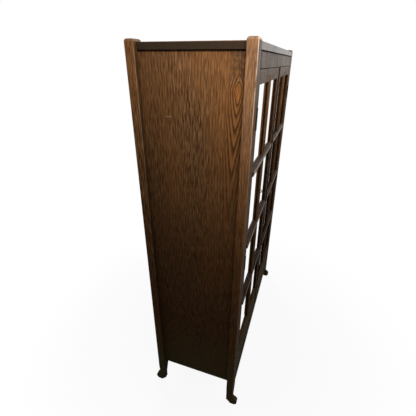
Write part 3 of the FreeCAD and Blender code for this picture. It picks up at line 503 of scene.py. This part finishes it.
# Share mirrored from the front, the power by which it grows, the looks over which panes turn to mirrors, and
# those over which what they mirror turns dim. A look is 0 from straight in front and 1 along the pane.
FACING_BLEND = 0.5
GLEAM = 0.006
SHEEN_POWER = 5.0
MIRROR_LOOK = (0.74, 0.82)
DIM_LOOK = (0.2, 0.7)

# Patches and scratches on metal: their noise, and how they change its roughness and relief.
TARNISH_SCALE = 90.0
TARNISH_DETAIL = 5.0
TARNISH_ROUGH = 0.6
TARNISH_SPAN = (0.35, 0.68)
TARNISH_DULL = 0.35
TARNISH_EVEN = 0.15
RUN_SCALES = (300, 300, 2500)
RUN_DETAIL = 2.0
RUN_DULL = 0.1
RUN_STRENGTH = 0.15
RUN_DEPTH = 0.0002


def glass(name, sheen, mirror, dim=None):
    """Old window glass in thin panes: clear from the front, and more or less of a mirror at a grazing look.

    sheen is the share mirrored at the flattest look, and mirror the least share past the mirror's looks. dim
    is how bright mirrored things are past the dim looks.
    """
    material, tree, output = new_material(name)
    place = add(tree, "ShaderNodeTexCoord").outputs["Object"]
    ripple = stretched_noise(tree, place, RIPPLE_SCALES, RIPPLE_DETAIL)
    haze = remap(tree, noise(tree, place, HAZE_SCALE, HAZE_DETAIL), *HAZE_SPAN)
    tint = blend(tree, remap(tree, ripple, *RIPPLE_SPAN), *GLASS_TINTS)
    clear = add(tree, "ShaderNodeBsdfPrincipled", {
        "Base Color": tint, "Transmission Weight": 1.0, "IOR": 1.0, "Roughness": 0.0})
    facing = add(tree, "ShaderNodeLayerWeight", {"Blend": FACING_BLEND}).outputs["Facing"]
    shown = grey(tree, remap(tree, facing, *DIM_LOOK, 1.0, dim)) if dim else WHITE
    wavy = bumped(tree, ripple, RIPPLE_STRENGTH, RIPPLE_DEPTH)
    gloss = add(tree, "ShaderNodeBsdfGlossy", {"Color": shown, "Roughness": haze, "Normal": wavy})
    share = remap(tree, math_node(tree, "POWER", facing, SHEEN_POWER), 0.0, 1.0, GLEAM, sheen)
    share = math_node(tree, "MAXIMUM", share, remap(tree, facing, *MIRROR_LOOK, 0.0, mirror))
    pane = add(tree, "ShaderNodeMixShader", {0: share, 1: clear.outputs[0], 2: gloss.outputs[0]})
    rays = add(tree, "ShaderNodeLightPath")
    lit = math_node(tree, "MAXIMUM", rays.outputs["Is Shadow Ray"], rays.outputs["Is Diffuse Ray"])
    through = add(tree, "ShaderNodeBsdfTransparent", {"Color": LIT_TINT})
    whole = add(tree, "ShaderNodeMixShader", {0: lit, 1: pane.outputs[0], 2: through.outputs[0]})
    tree.links.new(whole.outputs[0], output.inputs["Surface"])
    return material


def metal(name, bright, dull, rough):
    """Aged metal, dull in patches and scratched."""
    material, tree, output = new_material(name)
    place = add(tree, "ShaderNodeTexCoord").outputs["Object"]
    patch = noise(tree, place, TARNISH_SCALE, TARNISH_DETAIL, TARNISH_ROUGH)
    scratch = stretched_noise(tree, place, RUN_SCALES, RUN_DETAIL)
    level = plus(tree, times(tree, patch, TARNISH_DULL), rough - TARNISH_EVEN)
    level = plus(tree, level, times(tree, scratch, RUN_DULL))
    shader = add(tree, "ShaderNodeBsdfPrincipled", {
        "Base Color": blend(tree, remap(tree, patch, *TARNISH_SPAN), bright, dull), "Metallic": 1.0,
        "Roughness": level, "Normal": bumped(tree, scratch, RUN_STRENGTH, RUN_DEPTH)})
    tree.links.new(shader.outputs[0], output.inputs["Surface"])
    return material


# Pieces of wood with soft arrises

# Rounding of most wood and of posts, its steps and profile, the shortest edge and flattest angle that are
# rounded, the angle under which an edge counts as flat, and the distance under which points are the same.
ARRIS = 0.0012
POST_ARRIS = 0.0026
ARRIS_STEPS = 2
ROUND_PROFILE = 0.5
LEAST_EDGE = 0.006
SHARP_ANGLE = math.radians(35)
FLAT_ANGLE = math.radians(0.5)
SAME_POINT = 1e-5


def new_piece(name, mesh, materials):
    """An object made from an edited mesh."""
    data = bpy.data.meshes.new(name)
    mesh.to_mesh(data)
    mesh.free()
    for material in materials:
        data.materials.append(material)
    piece = bpy.data.objects.new(name, data)
    bpy.context.scene.collection.objects.link(piece)
    return piece


def soften(node, plain, worn, arris=ARRIS):
    """A copy of a wooden node whose long outer arrises are rounded, with worn wood on the rounding."""
    mesh = bmesh.new()
    mesh.from_mesh(NODES[node].data)
    bmesh.ops.remove_doubles(mesh, verts=mesh.verts, dist=SAME_POINT)
    bmesh.ops.dissolve_limit(mesh, angle_limit=FLAT_ANGLE, verts=mesh.verts, edges=mesh.edges)
    arrises = [edge for edge in mesh.edges
               if len(edge.link_faces) == 2 and edge.calc_length() > LEAST_EDGE
               and edge.calc_face_angle_signed() > SHARP_ANGLE]
    bmesh.ops.bevel(mesh, geom=arrises, offset=arris, segments=ARRIS_STEPS, profile=ROUND_PROFILE,
                    affect="EDGES", clamp_overlap=False, material=1)
    piece = new_piece("soft_" + node, mesh, (plain, worn))
    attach(piece, BODIES[node])
    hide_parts(node)


# Screws, nails and pins

# Heads: sides, the slot's width and its floor's height as shares of the head's, how deep they are bedded,
# the first slot's turn and the turn from one to the next, and a domed head's rings as shares of its radius
# and height.
HEAD_SIDES = 16
SLOT_SHARE = 0.16
SLOT_FLOOR = 0.2
BEDDED = 0.0003
FIRST_TURN = 0.4
NEXT_TURN = 1.1
DOME_RINGS = ((1.0, 0.0), (0.8, 0.6), (0.4, 0.94))


def head_axes(normal, turn):
    """Two axes across a head's face, the first along its slot."""
    normal = Vector(normal)
    first = normal.orthogonal().normalized()
    first.rotate(Quaternion(normal, turn))
    return normal, first, normal.cross(first)


def prism(mesh, centre, axes, outline, low, high):
    """A closed prism over an outline."""
    normal, first, second = axes
    flat = [Vector(centre) + first * u + second * v for u, v in outline]
    base = [mesh.verts.new(point + normal * low) for point in flat]
    top = [mesh.verts.new(point + normal * high) for point in flat]
    mesh.faces.new(list(reversed(base)))
    mesh.faces.new(top)
    for here in range(len(flat)):
        after = (here + 1) % len(flat)
        mesh.faces.new((base[here], base[after], top[after], top[here]))


def slotted_head(mesh, centre, normal, turn, radius, proud):
    """A flat screw head: two halves and the floor of the slot between them."""
    axes = head_axes(normal, turn)
    start = math.asin(SLOT_SHARE)
    steps = HEAD_SIDES // 2
    for side in (1, -1):
        angles = [start + (math.pi - 2 * start) * step / steps for step in range(steps + 1)]
        outline = [(side * radius * math.cos(angle), side * radius * math.sin(angle)) for angle in angles]
        prism(mesh, centre, axes, outline, -BEDDED, proud)
    long, wide = radius * math.cos(start), radius * SLOT_SHARE
    strip = [(-long, -wide), (long, -wide), (long, wide), (-long, wide)]
    prism(mesh, centre, axes, strip, -BEDDED, proud * SLOT_FLOOR)


def domed_head(mesh, centre, normal, radius, proud):
    """A low round head in rings that close at a crown."""
    normal, first, second = head_axes(normal, 0.0)
    angles = [2 * math.pi * step / HEAD_SIDES for step in range(HEAD_SIDES)]
    circle = [(math.cos(angle), math.sin(angle)) for angle in angles]
    levels = [(1.0, -BEDDED)] + [(share, proud * lift) for share, lift in DOME_RINGS]
    rows = []
    for share, lift in levels:
        middle = Vector(centre) + normal * lift
        reach = radius * share
        rows.append([mesh.verts.new(middle + first * (reach * u) + second * (reach * v)) for u, v in circle])
    crown = mesh.verts.new(Vector(centre) + normal * proud)
    mesh.faces.new(list(reversed(rows[0])))
    for low, high in zip(rows, rows[1:]):
        for here in range(HEAD_SIDES):
            after = (here + 1) % HEAD_SIDES
            mesh.faces.new((low[here], low[after], high[after], high[here]))
    for here in range(HEAD_SIDES):
        mesh.faces.new((rows[-1][here], rows[-1][(here + 1) % HEAD_SIDES], crown))


def fastened(name, mesh, body, material):
    """A piece that rides with the body it holds to."""
    piece = new_piece(name, mesh, (material,))
    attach(piece, body)


def screws(name, body, material, places, normal, radius, proud):
    """One piece with a slotted head at each place, each turned a little differently."""
    mesh = bmesh.new()
    for count, place in enumerate(places):
        slotted_head(mesh, place, normal, FIRST_TURN + NEXT_TURN * count, radius, proud)
    fastened(name, mesh, body, material)


def nails(name, body, material, places, normal, radius, proud):
    """One piece with a domed head at each place."""
    mesh = bmesh.new()
    for place in places:
        domed_head(mesh, place, normal, radius, proud)
    fastened(name, mesh, body, material)


# Light, floor and camera

# Where the photograph was taken from, and its lens on a 36 mm wide square frame.
CAMERA_PLACE = (-1.3295, -0.3427, 1.4927)
CAMERA_RIGHT = (0.3275, -0.9448, 0.0064)
CAMERA_UP = (0.4268, 0.1540, 0.8911)
CAMERA_LENS = 24.89
SENSOR_WIDTH = 36.0
CLIP_START = 0.01

# Soft square lamps: name, place, what they look at, size and power.
LAMPS = (("key", (-0.98, -0.36, 1.82), (-0.5, -0.05, 1.45), 0.4, 5.8),
         ("right_fill", (1.9, 1.4, 2.2), (0.3, 0.1, 0.9), 1.4, 45.0),
         ("front_fill", (0.9, -2.3, 2.2), (0.0, -0.2, 1.1), 1.4, 30.0))

# Light from all round, and the floor: its half size, how white it is near the object, the distances over
# which it becomes fully white, and its grey where it only lights the object and where it is seen.
WORLD_FILL = 0.09
FLOOR_HALF = 30.0
FLOOR_WHITE = 0.92
FLOOR_FADE = (0.5, 1.3)
FLOOR_GREYS = (0.2, 0.95)


def area_lamp(name, place, target, size, power):
    """A soft square lamp that only lights: it shows neither in the picture nor in or through glass."""
    data = bpy.data.lights.new(name, "AREA")
    data.size = size
    data.energy = power
    lamp = bpy.data.objects.new(name, data)
    bpy.context.scene.collection.objects.link(lamp)
    lamp.location = place
    lamp.rotation_euler = (Vector(target) - Vector(place)).to_track_quat("-Z", "Y").to_euler()
    lamp.visible_camera = False
    lamp.visible_glossy = False
    lamp.visible_transmission = False


def seen_share(tree):
    """1 for rays from the camera, and for mirrored and refracted ones."""
    rays = add(tree, "ShaderNodeLightPath")
    share = math_node(tree, "MAXIMUM", rays.outputs["Is Camera Ray"], rays.outputs["Is Glossy Ray"])
    return math_node(tree, "MAXIMUM", share, rays.outputs["Is Transmission Ray"])


def white_world():
    """White surroundings that light the object softly."""
    world = bpy.data.worlds.new("studio")
    bpy.context.scene.world = world
    world.use_nodes = True
    tree = world.node_tree
    tree.nodes.clear()
    strength = remap(tree, seen_share(tree), 0.0, 1.0, WORLD_FILL, 1.0)
    light = add(tree, "ShaderNodeBackground", {"Color": WHITE, "Strength": strength})
    add(tree, "ShaderNodeOutputWorld", {"Surface": light.outputs[0]})


def floor():
    """A plain pale floor that keeps the object's shadow and fades to white further out."""
    mesh = bmesh.new()
    bmesh.ops.create_grid(mesh, x_segments=2, y_segments=2, size=FLOOR_HALF)
    material, tree, output = new_material("pale_floor")
    place = add(tree, "ShaderNodeTexCoord").outputs["Object"]
    away = add(tree, "ShaderNodeVectorMath", {0: place}, operation="LENGTH").outputs["Value"]
    seen = seen_share(tree)
    share = times(tree, seen, remap(tree, away, *FLOOR_FADE, FLOOR_WHITE, 1.0, smooth=True))
    shade = grey(tree, remap(tree, seen, 0.0, 1.0, *FLOOR_GREYS))
    lit = add(tree, "ShaderNodeBsdfDiffuse", {"Color": shade})
    white = add(tree, "ShaderNodeEmission", {"Color": WHITE, "Strength": 1.0})
    mixed = add(tree, "ShaderNodeMixShader", {0: share, 1: lit.outputs[0], 2: white.outputs[0]})
    tree.links.new(mixed.outputs[0], output.inputs["Surface"])
    piece = new_piece("floor", mesh, (material,))


def camera():
    """The photograph's camera."""
    data = bpy.data.cameras.new("camera")
    data.lens = CAMERA_LENS
    data.sensor_width = SENSOR_WIDTH
    data.clip_start = CLIP_START
    piece = bpy.data.objects.new("camera", data)
    right = Vector(CAMERA_RIGHT).normalized()
    back = right.cross(Vector(CAMERA_UP)).normalized()
    turn = Matrix((right, back.cross(right), back)).transposed()
    piece.matrix_world = Matrix.Translation(CAMERA_PLACE) @ turn.to_4x4()
    bpy.context.scene.collection.objects.link(piece)
    bpy.context.scene.camera = piece


# Materials

# Height of the top board's underside, and half the frieze's length between the posts.
UNDER_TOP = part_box("frieze_rail")[1][2]
FRIEZE_HALF = 0.472
# The front posts are paled high up by a painted sheen.
POST = oak("oak_post", "z", tone=1.1, haze=0.07)
POST_WORN = oak("oak_post_worn", "z", tone=1.15, wear=0.95)
BACK_POST = oak("oak_back_post", "z", film=0.4)
BACK_POST_WORN = oak("oak_back_post_worn", "z", tone=1.1, wear=0.22)
# Upright wood: the left door's take more painted shade in the recess by the glass than the right door's.
UPRIGHT = oak("oak_upright", "z", tone=1.15, glass_shade=0.25)
UPRIGHT_WORN = oak("oak_upright_worn", "z", wear=0.2, glass_shade=0.12)
RIGHT_UPRIGHT = oak("oak_right_upright", "z", tone=1.15, glass_shade=0.8)
RIGHT_UPRIGHT_WORN = oak("oak_right_upright_worn", "z", wear=0.2, glass_shade=0.6)
# The cover bead is darker: a painted shade along the doors' split.
BEAD = oak("oak_bead", "z", tone=0.5)
LEVEL = oak("oak_level", "x")
FRIEZE = oak("oak_frieze", "x", seam=UNDER_TOP, ends=FRIEZE_HALF)
LEVEL_WORN = oak("oak_level_worn", "x", tone=0.7, wear=0.2)
TOP = oak("oak_top", "x", film=1.8, dull=0.28, aside=0.25)
TOP_WORN = oak("oak_top_worn", "x", tone=0.6, film=2.4, wear=0.6, dull=0.28, aside=0.25)
# The cross bars are darkened, a painted shade on their bevels, and their rubbed arrises are brightened into
# a painted highlight along the ridge.
BARS = oak("oak_bars", "x", tone=0.25, film=6.0, glass_shade=0.3)
BARS_WORN_AND_HIGHLIT = oak("oak_bars_worn_and_highlit", "x", tone=1.3, film=7.0, wear=0.8, glass_shade=0.3)
DEEP = oak("oak_deep", "y", film=0.3, base=0.8)
SHELF = oak("oak_shelf", "x", tone=1.15, film=0.3, base=0.8)
PANEL = oak("oak_panel", "z", figure=True, film=0.8, seam=UNDER_TOP)
BOARDS = oak("oak_boards", "z", film=0.1, base=0.6, boards=True)
GLASS = glass("window_glass", sheen=0.25, mirror=1.0)
CLEAR_GLASS = glass("clear_window_glass", sheen=0.9, mirror=0.0, dim=0.36)
BRASS = metal("aged_brass", linear(170, 148, 108), linear(92, 76, 52), rough=0.45)
KEY_BRASS = metal("key_brass", linear(128, 122, 98), linear(70, 62, 46), rough=0.5)
BRONZE = metal("dark_hinges", linear(74, 60, 44), linear(38, 31, 24), rough=0.5)
STEEL = metal("lock_steel", linear(150, 148, 142), linear(80, 76, 70), rough=0.42)

# Words in the names of level wood, and materials for slots that have only one.
LEVEL_WORDS = ("rail", "sill")
PLAIN = {"glass": GLASS, "brass": BRASS, "steel": STEEL}


def paint(node, material):
    """Give a CAD node one material."""
    if not NODES[node].material_slots:
        NODES[node].data.materials.append(material)
    for slot in NODES[node].material_slots:
        slot.link = "OBJECT"
        slot.material = material


# Looks of the CAD nodes

for node, slot in SLOTS.items():
    if slot == "glass" and node.startswith("right"):
        paint(node, CLEAR_GLASS)
    elif slot == "brass" and "hinge" in node:
        paint(node, BRONZE)
    elif node == "key":
        paint(node, KEY_BRASS)
    elif slot in PLAIN:
        paint(node, PLAIN[slot])
    elif node.endswith("side_panel"):
        paint(node, PANEL)
    elif node == "back_boards":
        paint(node, BOARDS)
    elif node == "shelf_cleats":
        paint(node, DEEP)
    elif node.endswith("glazing_beads"):
        paint(node, UPRIGHT)
    elif node.endswith("_post") or node.endswith("_foot"):
        coats = (BACK_POST, BACK_POST_WORN) if node.startswith("back") else (POST, POST_WORN)
        soften(node, *coats, POST_ARRIS)
    elif node == "cover_bead":
        soften(node, BEAD, BEAD)
    elif node == "frieze_rail":
        soften(node, FRIEZE, LEVEL_WORN)
    elif node.startswith("shelf_") or node == "bottom_board":
        soften(node, SHELF, LEVEL_WORN)
    elif node == "top_board":
        soften(node, TOP, TOP_WORN)
    elif node.endswith("cross_bars"):
        soften(node, BARS, BARS_WORN_AND_HIGHLIT)
    elif any(word in node for word in LEVEL_WORDS):
        soften(node, LEVEL, LEVEL_WORN)
    elif node.startswith("right"):
        soften(node, RIGHT_UPRIGHT, RIGHT_UPRIGHT_WORN)
    else:
        soften(node, UPRIGHT, UPRIGHT_WORN)

# Hinge screws lie flush: the closed leaves are less than half a millimetre apart. Here and below, heights
# are along Z, depths along Y and sides along X. A face is where heads sit, and heads are given by radius.
HINGE_LOWS = (0.277, 0.7945, 1.312)
LEAF_HOLES = (0.010, 0.032, 0.054)
LEAF_DEPTH = -0.1822
LEAF_FACE = {"post": 0.4712, "door": 0.4708}
HINGE_HEAD = 0.0034
FLUSH = 0.00005
SIDES = ((-1, "left"), (1, "right"))
for sign, side in SIDES:
    for leaf, facing, body in (("post", -sign, "case"), ("door", sign, side + "_door")):
        holes = [(sign * LEAF_FACE[leaf], LEAF_DEPTH, low + rise)
                 for low in HINGE_LOWS for rise in LEAF_HOLES]
        screws(side + "_hinge_" + leaf + "_screws", body, BRONZE, holes, (facing, 0, 0),
               HINGE_HEAD, FLUSH)

# Lock, strike plate, escutcheon and slide bolts.
LOCK_DEPTH = -0.177
MEETING_HALF = 0.001
STRIKE_HEIGHTS = (0.9115, 0.9405)
STRIKE_HEAD = 0.0024
LOCK_HEIGHTS = (0.8935, 0.9347)
LOCK_HEAD = 0.0018
KEY_SIDE = 0.015
ESCUTCHEON_FACE = -0.1922
PIN_HEIGHTS = (0.8985, 0.9275)
PIN_HEAD = 0.0012
DOME_PROUD = 0.0006
BOLT_FACE = -0.1698
BOLT_LOWS = (0.179, 1.414)
BOLT_SIDES = (-0.023, -0.011)
BOLT_RISES = (0.016, 0.044)
BOLT_HEAD = 0.0015
SCREW_PROUD = 0.0003
screws("strike_screws", "left_door", PLAIN[SLOTS["strike_plate"]],
       [(-MEETING_HALF, LOCK_DEPTH, height) for height in STRIKE_HEIGHTS], (1, 0, 0), STRIKE_HEAD, FLUSH)
screws("lock_screws", "right_door", PLAIN[SLOTS["lock_case"]],
       [(MEETING_HALF, LOCK_DEPTH, height) for height in LOCK_HEIGHTS], (-1, 0, 0), LOCK_HEAD, FLUSH)
nails("escutcheon_pins", "right_door", BRASS,
      [(KEY_SIDE, ESCUTCHEON_FACE, height) for height in PIN_HEIGHTS], (0, -1, 0), PIN_HEAD, DOME_PROUD)
screws("slide_bolt_screws", "left_door", PLAIN[SLOTS["top_bolt_plate"]],
       [(across, BOLT_FACE, low + rise)
        for low in BOLT_LOWS for across in BOLT_SIDES for rise in BOLT_RISES],
       (0, 1, 0), BOLT_HEAD, SCREW_PROUD)

# Screws through the shelf cleats, and nails through the back boards into the shelves.
SHELF_HEIGHTS = (0.59125, 0.877, 1.16275)
CLEAT_FACE = 0.465
CLEAT_DROP = 0.020
CLEAT_DEPTHS = (-0.11, 0.0, 0.11)
CLEAT_HEAD = 0.004
BACK_FACE = 0.162
BOARD_COUNT = 6
NAIL_SHIFTS = (-0.055, 0.055)
NAIL_HEAD = 0.0024
for sign, side in SIDES:
    holes = [(sign * CLEAT_FACE, deep, height - CLEAT_DROP)
             for height in SHELF_HEIGHTS for deep in CLEAT_DEPTHS]
    screws(side + "_cleat_screws", "case", STEEL, holes, (-sign, 0, 0), CLEAT_HEAD, SCREW_PROUD)
board_middles = [BOARD_PITCH * (count - (BOARD_COUNT - 1) / 2) for count in range(BOARD_COUNT)]
nail_sides = [middle + shift for middle in board_middles for shift in NAIL_SHIFTS]
nails("back_nails", "case", STEEL,
      [(across, BACK_FACE, height) for height in SHELF_HEIGHTS for across in nail_sides],
      (0, 1, 0), NAIL_HEAD, DOME_PROUD)

# Loose tongues that close the joints between the back boards.
TONGUE_HALF = 0.005
TONGUE_DEEP = (0.1555, 0.1595)
TONGUE_LOW = 0.178
TONGUE_HIGH = 1.521
upright = (Vector((0, 1, 0)), Vector((1, 0, 0)), Vector((0, 0, -1)))
corners = [(-TONGUE_HALF, -TONGUE_HIGH), (TONGUE_HALF, -TONGUE_HIGH),
           (TONGUE_HALF, -TONGUE_LOW), (-TONGUE_HALF, -TONGUE_LOW)]
tongues = bmesh.new()
for count in range(1, BOARD_COUNT):
    prism(tongues, ((count - BOARD_COUNT / 2) * BOARD_PITCH, 0, 0), upright, corners, *TONGUE_DEEP)
fastened("back_tongues", tongues, "case", BOARDS)

white_world()
floor()
for lamp in LAMPS:
    area_lamp(*lamp)
camera()
bpy.context.scene.view_settings.view_transform = "Standard"
